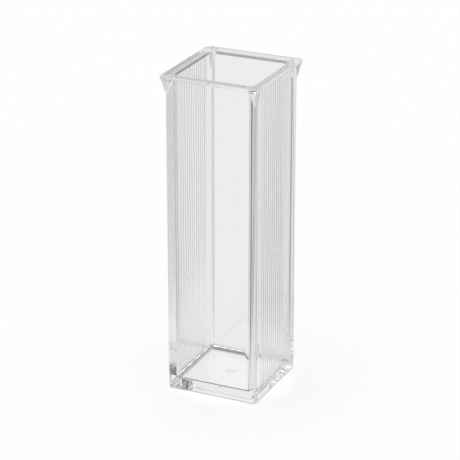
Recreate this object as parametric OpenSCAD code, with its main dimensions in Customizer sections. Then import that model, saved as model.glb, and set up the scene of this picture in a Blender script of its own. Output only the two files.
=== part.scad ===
// Square measuring cuvette, moulded in one piece from clear plastic.
// The two walls across Y are plain and clear, and light passes through them.
// The two walls across X carry fine upright ribs and are the ones to hold.
// The origin is at the middle of the base, with +Z up. Sizes are in millimetres.

/* [Body] */
// Outside width of the square body, which fits a standard cuvette holder
body_width = 12.5; // [12:0.1:16]
// Height from the base to the top of the rim
height = 42.3; // [25:0.1:60]
// Radius of the four upright outer corners
corner_radius = 0.65; // [0.5:0.05:1]
// Radius of the edge round the base
base_edge_radius = 0.4; // [0.2:0.05:0.45]

/* [Cavity] */
// Thickness of each ribbed wall
ribbed_wall = 0.85; // [0.5:0.05:2]
// Thickness of each clear wall
clear_wall = 0.65; // [0.5:0.05:2]
// How much further in each wall reaches at the floor than at the mouth
draft = 0.05; // [0:0.05:0.6]
// Radius of the four upright inner corners
cavity_corner_radius = 0.85; // [0.7:0.05:2]
// Radius of the fillet between the floor and the walls
floor_fillet = 0.6; // [0.3:0.05:0.65]
// Thickness of the floor
floor_thickness = 1.35; // [0.8:0.05:4]

/* [Rim] */
// How far the rim stands out past each ribbed wall
rim_overhang_x = 0.5; // [0.2:0.05:1]
// How far the rim stands out past each clear wall
rim_overhang_y = 0.9; // [0.2:0.05:1.5]
// Radius of the rim's corners
rim_corner_radius = 0.95; // [0.6:0.05:1.5]
// Height of the rim's upright edge
rim_edge = 0.12; // [0.08:0.02:0.4]
// Depth of the slope under the rim, from its edge down to the wall
rim_slope = 0.46; // [0.2:0.02:1]
// Depth of the pointed gusset under each corner of the rim
gusset_depth = 2.75; // [1.5:0.05:4]

/* [Ribs] */
// Number of ribs on each ribbed wall
rib_count = 15; // [4:1:16]
// Width of the plain strip beside the ribs, out to the side of the wall
rib_margin = 1.5; // [1.1:0.1:3]
// Depth of the valleys between the ribs
rib_depth = 0.05; // [0.04:0.01:0.12]
// Flat width at the bottom of each valley
valley_width = 0.05; // [0.02:0.01:0.1]
// Height of the plain band below the ribs
plain_band = 1.5; // [0.8:0.1:6]

/* [Base] */
// Diameter of the round gate mark under the base
gate_diameter = 1.4; // [0.8:0.1:4]
// Depth of the gate mark
gate_depth = 0.12; // [0.05:0.01:0.3]

/* [Hidden] */
$fn = 64;
thin = 0.01;                                  // a slice that only marks one end of a blend
over = 1;                                     // how far a cutter runs past the face it opens
rib_top = height - rim_edge - rim_slope;      // the ribs run up to the underside of the rim
panel_width = body_width - 2 * rib_margin;
rib_pitch = (panel_width - valley_width) / rib_count;
rib_chord = rib_pitch - valley_width;
crest_gap = 0.01;                             // how far the crests of the ribs lie inside the wall plane
rib_height = rib_depth - crest_gap;
rib_radius = (rib_height * rib_height + rib_chord * rib_chord / 4) / (2 * rib_height);
mouth_x = body_width - 2 * ribbed_wall;
mouth_y = body_width - 2 * clear_wall;
gusset_tip = 0.05;                            // radius of a gusset's pointed end, sunk in the corner
rim_x = body_width + 2 * rim_overhang_x;
rim_y = body_width + 2 * rim_overhang_y;

// A rectangle with round corners, centred on the origin.
module rounded_outline(size_x, size_y, radius) {
    square([size_x - 2 * radius, size_y], center = true);
    square([size_x, size_y - 2 * radius], center = true);
    at_corners(size_x, size_y, radius) circle(r = radius);
}

// Sets its child at the centre of each corner arc of such a rectangle.
module at_corners(size_x, size_y, radius) {
    for (side_x = [-1, 1], side_y = [-1, 1])
        translate([side_x * (size_x / 2 - radius), side_y * (size_y / 2 - radius)]) children();
}

// The upright section of a block whose two lower edges are rounded.
module rounded_foot_section(width, tall, edge_radius) {
    translate([-width / 2, edge_radius]) square([width, tall - edge_radius]);
    translate([-width / 2 + edge_radius, 0]) square([width - 2 * edge_radius, tall]);
    for (side = [-1, 1])
        translate([side * (width / 2 - edge_radius), edge_radius]) circle(r = edge_radius);
}

// A square post with round corners and a rounded edge round its foot.
module post(width, tall, radius, edge_radius) {
    for (turn = [0, 90])
        rotate([0, 0, turn]) rotate([90, 0, 0])
            linear_extrude(height = width - 2 * radius, center = true)
                rounded_foot_section(width, tall, edge_radius);
    at_corners(width, width, radius)
        rotate_extrude() intersection() {
            rounded_foot_section(2 * radius, tall, edge_radius);
            square([radius, tall]);
        }
}

// The rim: a thin upright edge over a slope that runs back into the walls.
module rim() {
    translate([0, 0, height - rim_edge]) linear_extrude(height = rim_edge)
        rounded_outline(rim_x, rim_y, rim_corner_radius);
    hull() {
        translate([0, 0, height - rim_edge - thin]) linear_extrude(height = thin)
            rounded_outline(rim_x, rim_y, rim_corner_radius);
        translate([0, 0, rib_top]) linear_extrude(height = thin)
            rounded_outline(body_width, body_width, corner_radius);
    }
}

// One gusset: it narrows from a corner of the rim to a point on the body's corner.
module gusset(side_x, side_y) {
    rim_centre = [rim_x / 2 - rim_corner_radius, rim_y / 2 - rim_corner_radius];
    tip_centre = body_width / 2 - corner_radius + (corner_radius - 3 * gusset_tip) * cos(45);
    hull() {
        translate([side_x * rim_centre.x, side_y * rim_centre.y, height - rim_edge - thin])
            cylinder(r = rim_corner_radius, h = thin);
        translate([side_x * tip_centre, side_y * tip_centre, height - gusset_depth])
            cylinder(r = gusset_tip, h = thin);
    }
}

// The ribs of the wall on the +X side, in a panel as deep as the valleys.
module ribbed_panel_cut() {
    translate([body_width / 2 - rib_depth, -panel_width / 2, plain_band])
        cube([rib_depth + over, panel_width, rib_top - plain_band]);
}

module ribs() {
    for (index = [0 : rib_count - 1])
        translate([body_width / 2 - crest_gap - rib_radius,
                   (index - (rib_count - 1) / 2) * rib_pitch, plain_band])
            cylinder(r = rib_radius, h = rib_top - plain_band);
}

// The cavity: it has a filleted edge round the floor, and widens to the mouth by the draft.
module cavity() {
    hull() {
        translate([0, 0, floor_thickness])
            at_corners(mouth_x - 2 * draft, mouth_y - 2 * draft, cavity_corner_radius)
                rotate_extrude() intersection() {
                    rounded_foot_section(2 * cavity_corner_radius, 2 * floor_fillet, floor_fillet);
                    square([cavity_corner_radius, floor_fillet + thin]);
                }
        translate([0, 0, height]) linear_extrude(height = over)
            rounded_outline(mouth_x, mouth_y, cavity_corner_radius);
    }
}

module gate_mark() {
    translate([0, 0, -over]) cylinder(d = gate_diameter, h = gate_depth + over);
}

module cuvette_body() {
    color([0.93, 0.95, 0.97, 0.45])
    difference() {
        union() {
            difference() {
                post(body_width, height - thin, corner_radius, base_edge_radius);
                for (turn = [0, 180]) rotate([0, 0, turn]) ribbed_panel_cut();
            }
            for (turn = [0, 180]) rotate([0, 0, turn]) ribs();
            rim();
            for (side_x = [-1, 1], side_y = [-1, 1]) gusset(side_x, side_y);
        }
        cavity();
        gate_mark();
    }
}

cuvette_body();
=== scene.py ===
import math

import bmesh
import bpy
import numpy as np
from mathutils import Matrix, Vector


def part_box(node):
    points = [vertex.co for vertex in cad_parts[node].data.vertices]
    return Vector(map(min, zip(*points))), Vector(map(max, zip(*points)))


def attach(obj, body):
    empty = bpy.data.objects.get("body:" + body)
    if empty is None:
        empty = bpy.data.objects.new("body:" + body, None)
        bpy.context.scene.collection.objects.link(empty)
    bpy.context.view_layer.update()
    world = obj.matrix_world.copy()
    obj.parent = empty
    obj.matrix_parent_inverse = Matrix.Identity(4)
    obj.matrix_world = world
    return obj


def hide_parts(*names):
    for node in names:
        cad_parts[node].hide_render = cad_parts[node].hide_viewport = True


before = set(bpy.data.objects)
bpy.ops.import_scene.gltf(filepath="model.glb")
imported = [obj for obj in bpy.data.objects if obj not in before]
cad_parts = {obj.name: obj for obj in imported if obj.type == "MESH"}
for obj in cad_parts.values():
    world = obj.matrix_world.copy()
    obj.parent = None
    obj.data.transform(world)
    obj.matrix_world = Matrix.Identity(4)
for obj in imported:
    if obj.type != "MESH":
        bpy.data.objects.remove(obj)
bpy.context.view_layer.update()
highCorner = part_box("cuvette_body")[1]
mm = 0.001
tiny = 1e-6                              # a difference that counts as nothing
print("frame loaded")

# sizes in millimetres; the rim's outside and the height come from the CAD node's box
cuvette = {
    "bodyHalf": 6.25,
    "cornerRadius": 0.65,
    "baseEdge": 0.4,
    "mouthHalf": (5.4, 5.6),
    "cavityHalf": (5.35, 5.55),
    "cavityRadius": 0.85,
    "floorFillet": 0.6,
    "floorThickness": 1.35,
    "rimRadius": 0.95,
    "rimEdge": 0.12,
    "rimSlope": 0.46,
    "gussetDepth": 2.75,
    "gussetTip": 0.05,
    "softEdge": 0.09,
    "ribCount": 15,
    "ribPitch": 0.63,
    "ribDepth": 0.05,
    "crestGap": 0.01,
    "valleyWidth": 0.05,
    "plainBand": 1.5,
    "gateRadius": 0.7,
    "gateDepth": 0.12,
    "gateTaper": 0.97,                   # the gate mark's width at its bottom, as a share
    "gateSurround": 1.08,                # the first ring round it, as a share of its width
    # how finely each stretch is divided
    "ribSteps": 8,
    "arcSteps": 8,
    "coneSteps": 24,
    "gussetRows": 26,
    "gussetEase": 1.3,                   # above 1, the gusset's rows lie closer at its tip
    "gussetLift": 0.0001,                # from the last row without a gusset to the first with one
    "gussetTrials": 400,
    "slopeRows": 14,
    "filletRows": 10,
    "edgeRows": 4,
    "edgeLow": 0.2,                      # the row over the rim's lower edge, in soft edges
    "mouthRing": 1.6,                    # the ring round the mouth's edge, in soft edges
    "rowGap": 0.05,                      # from the end of a rounding to the next row
    # the columns from the ribs to the corner, and from the corner to the middle, as shares
    "stripShares": (0.35, 0.7, 0.94, 1.0),
    "plainShares": (0.995, 0.9, 0.7, 0.5, 0.3, 0.1, 0.0),
    "depthShares": (0.002, 0.05, 0.5, 0.95, 0.998),     # the rows down the cavity
    "sharpAngle": 14,                    # in degrees; a steeper crease is shown sharp
    "mergeReach": 0.0015,                # points closer than this become one
    "shortEdge": 0.0001,                 # and edges shorter than this are taken out
}


# Depth of the ribs along half a wall: over each chord the surface is an arc,
# depth = gap + R - sqrt(R^2 - distance^2), and the valleys between are flat.
def ribProfile(c):
    chord = c["ribPitch"] - c["valleyWidth"]
    tall = c["ribDepth"] - c["crestGap"]
    radius = (tall ** 2 + chord ** 2 / 4) / (2 * tall)
    centres = (np.arange(c["ribCount"]) - (c["ribCount"] - 1) / 2) * c["ribPitch"]
    across = np.linspace(-chord / 2, chord / 2, c["ribSteps"] + 1)
    places = np.add.outer(centres, across).ravel()
    depth = np.tile(c["crestGap"] + radius - np.sqrt(radius ** 2 - across ** 2), c["ribCount"])
    half = places > -tiny
    edge = (c["ribCount"] * c["ribPitch"] + c["valleyWidth"]) / 2
    return (np.concatenate([places[half], [edge, edge]]),
            np.concatenate([depth[half], [c["ribDepth"], 0.0]]))


# A band of rows, one for each height: half sizes, corner radius, and the centre and
# radius of the disc that stands out of the corner there. The last two columns say how much
# of the ribs' depth a row has, and whether its ribs keep their width or narrow with it.
def band(z, halfX, halfY, radius, disc=None, ribs=0.0, fixed=0.0):
    z = np.atleast_1d(np.asarray(z, float))
    if disc is None:                       # the disc is the corner itself
        disc = (halfX - radius, halfY - radius, radius)
    columns = (z, halfX, halfY, radius, *disc, ribs, fixed)
    return np.column_stack([np.broadcast_to(np.asarray(k, float), z.shape) for k in columns])


# Rows of the outside without a gusset: the disc has shrunk to a point halfway round the corner.
def plainBand(z, half, radius, ribs=0.0, fixed=1.0):
    middle = half - radius + radius * math.cos(math.radians(45))
    return band(z, half, half, radius, (middle, middle, 0.0), ribs, fixed)


# One quarter of every row, from the middle of the X wall round the corner to the middle
# of the Y wall. Where the disc crosses a wall or the corner arc it leaves a crease, and
# the stretches before, on and after the disc all end on it. On a wall the crease lies at
# centre - sqrt(s^2 - distance^2). On the arc it lies at an angle of
# acos((gap^2 + r^2 - s^2) / (2 gap r)) to either side of the disc's bearing.
def quarterRows(rows, c):
    z, hx, hy, r, qx, qy, s, ribs, fixed = (rows[:, [k]] for k in range(rows.shape[1]))
    cx, cy = hx - r, hy - r
    gap = np.hypot(qx - cx, qy - cy)
    same = gap < tiny
    safeGap = np.where(same, 1.0, gap)
    along = (gap ** 2 + r ** 2 - s ** 2) / (2 * safeGap)
    spread = np.arccos(np.clip(along / r, -1, 1))
    toward = np.arctan2(qy - cy, qx - cx)
    crossY = qy - np.sqrt(np.maximum(s ** 2 - (hx - qx) ** 2, 0))
    crossX = qx - np.sqrt(np.maximum(s ** 2 - (hy - qy) ** 2, 0))
    wallA = (crossY < cy - tiny) & (s > np.abs(hx - qx))
    wallB = (crossX < cx - tiny) & (s > np.abs(hy - qy))
    angleA = np.where(same | wallA, 0.0, toward - spread)
    angleB = np.where(same | wallB, math.pi / 2, toward + spread)
    creaseA = (np.where(wallA, hx, cx + r * np.cos(angleA)),
               np.where(wallA, crossY, cy + r * np.sin(angleA)))
    creaseB = (np.where(wallB, crossX, cx + r * np.cos(angleB)),
               np.where(wallB, hy, cy + r * np.sin(angleB)))

    places, depth = ribProfile(c)
    reference = c["bodyHalf"] - c["cornerRadius"]
    endY = np.where(wallA, crossY, cy)
    endX = np.where(wallB, crossX, cx)
    scale = np.where(fixed > 0, 1.0, endY / reference)
    ribY = places * scale
    toEnd = np.array(c["stripShares"])
    edgeY = ribY[:, -1:] + (endY - ribY[:, -1:]) * toEnd
    wallY = np.hstack([ribY, edgeY])
    wallX = hx - ribs * np.concatenate([depth, np.zeros(len(toEnd))])

    share = np.linspace(0, 1, c["arcSteps"] + 1)
    before = angleA * share
    beforeX = np.where(wallA, creaseA[0], cx + r * np.cos(before))
    beforeY = np.where(wallA, creaseA[1], cy + r * np.sin(before))
    after = angleB + (math.pi / 2 - angleB) * share
    afterX = np.where(wallB, creaseB[0], cx + r * np.cos(after))
    afterY = np.where(wallB, creaseB[1], cy + r * np.sin(after))

    startAngle = np.arctan2(creaseA[1] - qy, creaseA[0] - qx)
    stopAngle = np.arctan2(creaseB[1] - qy, creaseB[0] - qx)
    around = startAngle + (stopAngle - startAngle) * np.linspace(0, 1, c["coneSteps"] + 1)
    discX = qx + s * np.cos(around)
    discY = qy + s * np.sin(around)

    farX = endX * np.array(c["plainShares"])
    farY = np.broadcast_to(hy, farX.shape)

    x = np.hstack([wallX, beforeX[:, 1:], discX[:, 1:], afterX[:, 1:], farX])
    y = np.hstack([wallY, beforeY[:, 1:], discY[:, 1:], afterY[:, 1:], farY])
    return x, y, np.broadcast_to(z, x.shape)


# The quarter is mirrored round to a closed loop, turning anticlockwise seen from above.
def wholeRows(rows, c):
    x, y, z = quarterRows(rows, c)
    loopX = np.hstack([x, -x[:, ::-1][:, 1:], -x[:, 1:], x[:, ::-1][:, 1:-1]])
    loopY = np.hstack([y, y[:, ::-1][:, 1:], -y[:, 1:], -y[:, ::-1][:, 1:-1]])
    loopZ = np.hstack([z, z[:, 1:], z[:, 1:], z[:, 1:-1]])
    return np.stack([loopX, loopY, loopZ], axis=-1)


# The gusset is a cone with a small round end sunk in the corner and the rim's corner as
# its wide end, so its centre and radius change evenly with height.
def gussetDisc(z, c, rimX, rimY, topZ):
    corner = c["bodyHalf"] - c["cornerRadius"]
    tip = corner + (c["cornerRadius"] - 3 * c["gussetTip"]) * math.cos(math.radians(45))
    low, high = topZ - c["gussetDepth"], topZ - c["rimEdge"]
    share = (z - low) / (high - low)
    wide = (rimX - c["rimRadius"], rimY - c["rimRadius"])
    return (tip + (wide[0] - tip) * share, tip + (wide[1] - tip) * share,
            c["gussetTip"] + (c["rimRadius"] - c["gussetTip"]) * share)


# All rows of the closed surface in turn: the gate mark, the foot, the wall, the gussets,
# the rim, and down the cavity to the middle of its floor.
def makeCuvette(c):
    rimX, rimY, topZ = (highCorner[k] / mm for k in range(3))
    half, radius, soft, gap = c["bodyHalf"], c["cornerRadius"], c["softEdge"], c["rowGap"]
    ribTop = topZ - c["rimEdge"] - c["rimSlope"]
    edgeZ = topZ - c["rimEdge"]

    # round the foot: inset = R (1 - sin a), height = R (1 - cos a)
    turn = np.linspace(0, math.pi / 2, c["filletRows"] + 1)
    footInset = c["baseEdge"] * (1 - np.sin(turn))
    foot = plainBand(c["baseEdge"] * (1 - np.cos(turn)), half - footInset, radius - footInset)
    flat = plainBand(0.0, half - c["baseEdge"] - gap, radius - c["baseEdge"] - gap, fixed=0.0)
    lowWall = np.vstack([plainBand([c["baseEdge"] + gap, c["plainBand"]], half, radius),
                         plainBand(c["plainBand"], half, radius, ribs=1.0)])

    # the gusset's rows start where its cone comes out of the corner
    trial = np.linspace(topZ - c["gussetDepth"], ribTop, c["gussetTrials"])
    tx, ty, ts = gussetDisc(trial, c, rimX, rimY, topZ)
    reach = np.hypot(tx - half + radius, ty - half + radius) + ts - radius
    startZ = np.interp(0.0, reach, trial)
    share = np.linspace(0, 1, c["gussetRows"] + 1) ** c["gussetEase"]
    gussetZ = startZ + (ribTop - startZ) * share
    gussetZ[0] += c["gussetLift"]
    gusset = np.vstack([plainBand(startZ, half, radius, ribs=1.0),
                        band(gussetZ, half, half, radius,
                             gussetDisc(gussetZ, c, rimX, rimY, topZ), ribs=1.0, fixed=1.0),
                        band(ribTop, half, half, radius,
                             gussetDisc(ribTop, c, rimX, rimY, topZ), fixed=1.0)])

    # the slope under the rim, in straight lines from the wall out to the rim's edge;
    # its rows lie closer at the top: share = 1 - (1 - step)^2
    share = 1 - (1 - np.linspace(0, 1, c["slopeRows"] + 1)[1:-1]) ** 2
    slopeZ = ribTop + (edgeZ - ribTop) * share
    slope = band(slopeZ, half + (rimX - half) * share, half + (rimY - half) * share,
                 radius + (c["rimRadius"] - radius) * share,
                 gussetDisc(slopeZ, c, rimX, rimY, topZ))

    # the rim's edge, its top face and the mouth, each edge just broken:
    # inset = soft (1 - cos a), height = top - soft (1 - sin a)
    bend = np.linspace(0, math.pi / 2, c["edgeRows"] + 1)
    outer = soft * (1 - np.cos(bend))
    rim = np.vstack([band([edgeZ, edgeZ + c["edgeLow"] * soft], rimX, rimY, c["rimRadius"]),
                     band(topZ - soft + soft * np.sin(bend), rimX - outer, rimY - outer,
                          c["rimRadius"] - outer)])
    mouthX, mouthY = c["mouthHalf"]
    inner = soft * (1 - np.cos(bend[::-1]))
    ring = c["mouthRing"] * soft
    mouth = np.vstack([band(topZ, mouthX + ring, mouthY + ring, c["cavityRadius"] + ring),
                       band(topZ - soft + soft * np.sin(bend[::-1]), mouthX + inner,
                            mouthY + inner, c["cavityRadius"] + inner)])

    # down the cavity and round its fillet to the floor
    cavityX, cavityY = c["cavityHalf"]
    filletTop = c["floorThickness"] + c["floorFillet"]
    along = np.array(c["depthShares"])
    walls = band(topZ - soft + (filletTop - topZ + soft) * along,
                 mouthX + (cavityX - mouthX) * along, mouthY + (cavityY - mouthY) * along,
                 c["cavityRadius"])
    inset = c["floorFillet"] * (1 - np.cos(turn))
    fillet = band(filletTop - c["floorFillet"] * np.sin(turn), cavityX - inset,
                  cavityY - inset, c["cavityRadius"] - inset)
    inset = c["floorFillet"] + gap
    floorRow = band(c["floorThickness"], cavityX - inset, cavityY - inset,
                    c["cavityRadius"] - inset)

    rows = np.vstack([flat, foot, lowWall, gusset, slope, rim, mouth, walls, fillet, floorRow])
    shell = wholeRows(rows, c)

    # the gate mark is a round dimple, on the same bearings as the flat foot
    bearing = shell[:1] / np.linalg.norm(shell[:1, :, :2], axis=-1, keepdims=True)
    circle = bearing * c["gateRadius"]
    lowCircle, highCircle = circle.copy(), circle * c["gateTaper"]
    lowCircle[..., 2], highCircle[..., 2] = 0.0, c["gateDepth"]
    middle = np.zeros_like(circle)
    middle[..., 2] = c["gateDepth"]
    wideCircle = circle * c["gateSurround"]
    wideCircle[..., 2] = 0.0
    centre = np.zeros_like(circle)
    centre[..., 2] = c["floorThickness"]
    return np.concatenate([middle, highCircle, lowCircle, wideCircle, shell, centre])


# Joins the rows into quads, one row to the next all the way round, and merges the places
# where a stretch has shrunk to nothing.
def meshFromRows(name, grid, c):
    rowCount, columnCount, _ = grid.shape
    column = np.arange(columnCount)
    corners = np.stack([column, (column + 1) % columnCount], axis=-1)
    row = np.arange(rowCount - 1)[:, None] * columnCount
    above = row + columnCount
    quads = np.stack([row + corners[:, 0], row + corners[:, 1],
                      above + corners[:, 1], above + corners[:, 0]], axis=-1)
    mesh = bpy.data.meshes.new(name)
    mesh.from_pydata((grid.reshape(-1, 3) * mm).tolist(), [], quads.reshape(-1, 4).tolist())
    work = bmesh.new()
    work.from_mesh(mesh)
    bmesh.ops.remove_doubles(work, verts=work.verts, dist=c["mergeReach"] * mm)
    bmesh.ops.dissolve_degenerate(work, edges=work.edges, dist=c["shortEdge"] * mm)
    openEdges = sum(1 for edge in work.edges if len(edge.link_faces) != 2)
    print(name, "volume", round(work.calc_volume() / mm ** 3, 1), "open edges", openEdges,
          "faces", len(work.faces))
    work.to_mesh(mesh)
    work.free()
    mesh.polygons.foreach_set("use_smooth", np.ones(len(mesh.polygons), bool))
    mesh.set_sharp_from_angle(angle=math.radians(c["sharpAngle"]))
    piece = bpy.data.objects.new(name, mesh)
    bpy.context.scene.collection.objects.link(piece)
    return piece


# A socket whose arithmetic adds Math nodes; a square root is a power of a half.
class Value:
    def __init__(self, tree, socket):
        self.tree, self.socket = tree, socket

    def combine(self, operation, first, second):
        return self.tree.node("ShaderNodeMath", {"operation": operation}, {0: first, 1: second})

    def __add__(self, other): return self.combine("ADD", self, other)
    def __radd__(self, other): return self.combine("ADD", other, self)
    def __sub__(self, other): return self.combine("SUBTRACT", self, other)
    def __rsub__(self, other): return self.combine("SUBTRACT", other, self)
    def __mul__(self, other): return self.combine("MULTIPLY", self, other)
    def __rmul__(self, other): return self.combine("MULTIPLY", other, self)
    def __truediv__(self, other): return self.combine("DIVIDE", self, other)
    def __pow__(self, other): return self.combine("POWER", self, other)
    def largest(self, other): return self.combine("MAXIMUM", self, other)


class Tree:
    def __init__(self, owner):
        owner.use_nodes = True
        self.tree = owner.node_tree
        self.tree.nodes.clear()

    # Adds a node: settings first, then the values or links of its sockets. It gives back
    # one output, or several where their names are listed.
    def node(self, kind, settings=None, inputs=None, output=0):
        made = self.tree.nodes.new(kind)
        for name, value in (settings or {}).items():
            setattr(made, name, value)
        for name, value in (inputs or {}).items():
            if isinstance(value, Value):
                self.tree.links.new(value.socket, made.inputs[name])
            else:
                made.inputs[name].default_value = value
        if isinstance(output, tuple):
            return [Value(self, made.outputs[name]) for name in output]
        return Value(self, made.outputs[output]) if made.outputs else made

    # A smooth step from 0 to 1 as a value runs from low to high.
    def step(self, value, low, high):
        return self.node("ShaderNodeMapRange", {"interpolation_type": "SMOOTHSTEP"},
                         {"Value": value, "From Min": low, "From Max": high})

    # Blends two colours; the sockets are the ones that a Mix node shows for colours.
    def mixColour(self, factor, first, second):
        return self.node("ShaderNodeMix", {"data_type": "RGBA"}, {0: factor, 6: first, 7: second},
                         output=2)

    def output(self, value, kind="ShaderNodeOutputMaterial"):
        self.node(kind, None, {"Surface": value})


clearPlastic = {
    "ior": 1.59,
    "tints": ((0.988, 0.988, 0.991, 1.0), (1.0, 1.0, 1.0, 1.0)),
    "flowScale": 420.0,                  # flow marks to the metre, across the walls
    "flowStretch": 0.12,                 # below 1, they are drawn out up the walls
    "flowDetail": 2.0,
    "flowDepth": 0.0025,                 # in mm, on the ribbed walls and near the base
    "ribSkin": (0.3, 0.1),               # the ribbed walls, from that far inside their face, in mm
    "nearBase": (3.0, 1.0),              # the heights between which that depth comes in, in mm
    "clearShare": 0.08,                  # how much of it is left on the clear walls
    "gateRoughness": 0.22,
    "gateFade": (1.25, 0.85),            # where the matter mark ends and is full, in gate radii
    "gateHeight": (0.4, 0.2),            # and the heights at which it does, in mm
}


# Clear moulded plastic with faint flow marks up the walls and a matter gate mark.
def makeClearPlastic(p):
    material = bpy.data.materials.new("clearMouldedPlastic")
    t = Tree(material)
    place = t.node("ShaderNodeTexCoord", output="Object")
    x, y, z = t.node("ShaderNodeSeparateXYZ", None, {0: place}, output=("X", "Y", "Z"))
    along = t.node("ShaderNodeCombineXYZ", None, {0: x, 1: y, 2: z * p["flowStretch"]})
    flow = t.node("ShaderNodeTexNoise", None, {
        "Vector": along, "Scale": p["flowScale"], "Detail": p["flowDetail"]}, output="Fac")
    half, gateRadius = cuvette["bodyHalf"] * mm, cuvette["gateRadius"] * mm
    ribbed = t.step(x.largest(x * -1.0), *(half - depth * mm for depth in p["ribSkin"]))
    low = t.step(z, *(height * mm for height in p["nearBase"]))
    strong = ribbed.largest(low).largest(p["clearShare"])
    reach = (x * x + y * y) ** 0.5
    gate = t.step(reach, *(share * gateRadius for share in p["gateFade"]))
    gate = gate * t.step(z, *(height * mm for height in p["gateHeight"]))
    waves = t.node("ShaderNodeBump", None, {
        "Height": flow * strong, "Strength": 1.0, "Distance": p["flowDepth"] * mm})
    t.output(t.node("ShaderNodeBsdfPrincipled", None, {
        "Base Color": t.mixColour(flow, *p["tints"]), "Roughness": gate * p["gateRoughness"],
        "IOR": p["ior"], "Transmission Weight": 1.0, "Normal": waves}))
    return material


body = meshFromRows("cuvette_clear", makeCuvette(cuvette), cuvette)
body.data.materials.append(makeClearPlastic(clearPlastic))
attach(body, "root")
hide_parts("cuvette_body")
print("cuvette made")

studio = {
    "back": 114.9,                       # which way the back of the studio lies, from +X
    "floorSize": 6.0,
    "floorGap": 0.02,                    # how far the floor lies under the base, in mm
    "floorColour": (0.96, 0.96, 0.96, 1.0),
    "floorGlow": 0.66,                   # share of the floor that is its own white
    "glowThrough": 0.85,                 # the same where the plastic shows it
    "glowUnder": 0.95,                   # the same under the base
    "underReach": (10.0, 4.0),           # from here inwards that holds, in mm
    "glowLevel": 1.149,                  # how bright that white is to the camera
    # brightness: an even part, then soft patches as (degrees from the back round to the left,
    # half width in degrees, change in brightness)
    # painted shade: the near patches darken the floor's glow on some sides, in place of a shadow,
    # and only the plastic sees them
    "nearFloorPaintedShade": (0.89, (-97, 43, -0.87), (-45, 18, -0.55), (50, 36, -0.55)),
    "nearStart": (0.0, 0.034),           # the near patches fade in between these, in metres
    "nearFrom": (4.0, -4.0),             # the point that the near patches lie round, in mm
    # painted shade: a greyer ring of floor further off, as if the light fell off away from the
    # object
    "farFloorPaintedShade": (0.66, (-12, 70, -0.14)),
    "farStart": (0.16, 0.35),            # where the near floor gives way to the far floor
    "farEnd": (0.45, 0.9),               # and where the far floor turns pale again
    # painted contact shadow: under the walls the floor is dark, under the cuvette's floor it stays
    # pale
    "underFloor": 0.95,                  # brightness under the floor of the cuvette
    "underWallsPaintedShadow": 0.14,                  # and under its walls, where it stands
    "wallBand": (4.9, 5.6),              # where that begins, in mm from the middle
    "contactEdge": (7.2, 6.2),           # and where it gives way to the open floor
    # the room above the floor: each part comes in between two heights, given as sines
    "horizon": 0.86,
    "lowWalls": (0.72, (-20, 65, -0.42)),
    "lowWallsStart": (0.075, 0.13),
    "walls": (0.56, (2, 42, 0.32), (-95, 80, -0.53), (125, 60, 0.4)),
    "wallsStart": (0.14, 0.28),
    "slopes": 0.38,
    "slopesStart": (0.5, 0.64),
    "lamp": 1.5,                         # the broad lamp straight above
    "lampStart": (0.82, 0.92),
    "coolDark": (0.0, 0.006, 0.03, 1.0),
    "white": (1.0, 1.0, 1.0, 1.0),
    "bounces": 160,                      # light that enters the rim needs many to leave the wall
}


# Brightness by bearing: an even part and soft patches that each brighten or darken one side.
# A patch adds its change times a smooth step of the cosine of the angle from its middle,
# which runs from the cosine of its half width to 1.
def byBearing(t, x, y, terms):
    reach = (x * x + y * y) ** 0.5
    found = terms[0]
    for bearing, half, change in terms[1:]:
        a = math.radians(studio["back"] + bearing)
        towards = (x * math.cos(a) + y * math.sin(a)) / reach
        found = found + change * t.step(towards, math.cos(math.radians(half)), 1.0)
    return found


# The floor is white to the camera and keeps the shadow. The plastic sees it with painted shade:
# dark patches near by, a greyer ring further off, and a painted contact shadow in a dark square
# where the walls stand.
def makeFloor(s):
    bpy.ops.mesh.primitive_plane_add(size=s["floorSize"], location=(0, 0, -s["floorGap"] * mm))
    floor = bpy.context.object
    floor.name = "floor"
    material = bpy.data.materials.new("paleFloorWithPaintedShade")
    t = Tree(material)
    seen = t.node("ShaderNodeLightPath", output="Is Camera Ray")
    place = t.node("ShaderNodeTexCoord", output="Object")
    x, y = t.node("ShaderNodeSeparateXYZ", None, {0: place}, output=("X", "Y"))
    reach = (x * x + y * y) ** 0.5
    # painted shade: dark patches round a point beside the base, fading in away from the middle
    fromX, fromY = (side * mm for side in s["nearFrom"])
    even = s["nearFloorPaintedShade"][0]
    near = byBearing(t, x - fromX, y - fromY, s["nearFloorPaintedShade"])
    near = even + t.step(reach, *s["nearStart"]) * (near - even)
    # painted shade in the greyer ring further off, turning pale again towards the horizon
    far = byBearing(t, x, y, s["farFloorPaintedShade"])
    far = far + t.step(reach, *s["farEnd"]) * (s["horizon"] - far)
    lit = near + t.step(reach, *s["farStart"]) * (far - near)
    square = x.largest(x * -1.0).largest(y).largest(y * -1.0)
    # painted contact shadow: a dark square band where the walls stand, pale in the middle
    wall = t.step(square, *(limit * mm for limit in s["wallBand"]))
    paintedShadowUnderBase = s["underFloor"] + wall * (s["underWallsPaintedShadow"] - s["underFloor"])
    lit = lit + t.step(square, *(limit * mm for limit in s["contactEdge"])) * (paintedShadowUnderBase - lit)
    lit = lit.largest(seen)
    # the painted light and shade colour the floor's glow, from cool dark to white
    colour = t.mixColour(lit, s["coolDark"], s["white"])
    glow = t.node("ShaderNodeEmission", None, {
        "Color": colour, "Strength": 1.0 + seen * (s["glowLevel"] - 1.0)})
    matt = t.node("ShaderNodeBsdfDiffuse", None, {"Color": s["floorColour"]})
    share = s["glowThrough"] + seen * (s["floorGlow"] - s["glowThrough"])
    under = t.step(reach, *(limit * mm for limit in s["underReach"]))
    share = share + under * (s["glowUnder"] - share)
    t.output(t.node("ShaderNodeMixShader", None, {0: share, 1: matt, 2: glow}))
    floor.data.materials.append(material)


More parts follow.
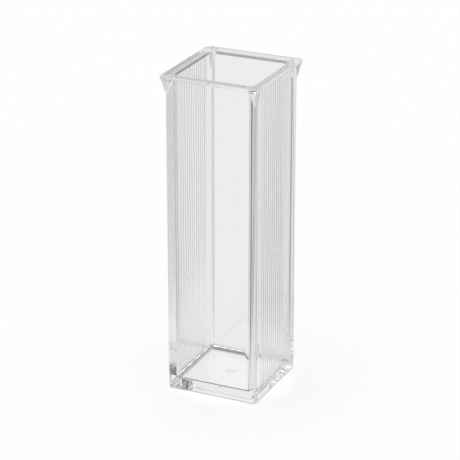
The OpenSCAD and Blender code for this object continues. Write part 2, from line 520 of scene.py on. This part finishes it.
# The room is white to the camera. The plastic sees a pale horizon, low walls and walls that
# vary by bearing, greyer slopes, and the lamp.
def makeWorld(s):
    world = bpy.data.worlds.new("studio")
    bpy.context.scene.world = world
    t = Tree(world)
    direction = t.node("ShaderNodeTexCoord", output="Generated")
    x, y, z = t.node("ShaderNodeSeparateXYZ", None, {0: direction}, output=("X", "Y", "Z"))
    lowWalls, walls = byBearing(t, x, y, s["lowWalls"]), byBearing(t, x, y, s["walls"])
    lit = s["horizon"] + t.step(z, *s["lowWallsStart"]) * (lowWalls - s["horizon"])
    lit = lit + t.step(z, *s["wallsStart"]) * (walls - lit)
    lit = lit + t.step(z, *s["slopesStart"]) * (s["slopes"] - lit)
    lit = lit + t.step(z, *s["lampStart"]) * (s["lamp"] - lit)
    seen = t.node("ShaderNodeLightPath", output="Is Camera Ray")
    lit = lit + seen * (1.0 - lit)
    colour = t.mixColour(lit, s["coolDark"], s["white"])
    t.output(t.node("ShaderNodeBackground", None, {
        "Color": colour, "Strength": lit.largest(1.0)}), "ShaderNodeOutputWorld")


# degrees and millimetres
camera = {
    "azimuth": 24.8775,
    "elevation": 22.0728,
    "distance": 275.667,
    "aside": -0.2356,
    "aimHeight": 20.7355,
    "lens": 170.008,
    "sensor": 36,
    "nearest": 10.0,                     # nothing closer to the lens is drawn
}


# back = (sin a cos e, -cos a cos e, sin e), right = (cos a, sin a, 0), and up is square to
# both. The camera stands on back at its distance, over a point beside and above the origin.
def makeCamera(k):
    a, e = math.radians(k["azimuth"]), math.radians(k["elevation"])
    back = np.array([math.sin(a) * math.cos(e), -math.cos(a) * math.cos(e), math.sin(e)])
    right = np.array([math.cos(a), math.sin(a), 0.0])
    up = np.cross(back, right)
    place = (right * k["aside"] + np.array([0, 0, k["aimHeight"]]) + back * k["distance"]) * mm
    lens = bpy.data.cameras.new("camera")
    lens.lens, lens.sensor_width, lens.clip_start = k["lens"], k["sensor"], k["nearest"] * mm
    holder = bpy.data.objects.new("camera", lens)
    bpy.context.scene.collection.objects.link(holder)
    holder.matrix_world = Matrix(np.vstack([np.column_stack([right, up, back, place]),
                                            [0, 0, 0, 1]]).tolist())
    bpy.context.scene.camera = holder


makeFloor(studio)
makeWorld(studio)
makeCamera(camera)
scene = bpy.context.scene
scene.view_settings.view_transform = "Standard"
scene.cycles.max_bounces = studio["bounces"]
scene.cycles.transmission_bounces = studio["bounces"]
scene.cycles.glossy_bounces = studio["bounces"]
print("studio made")
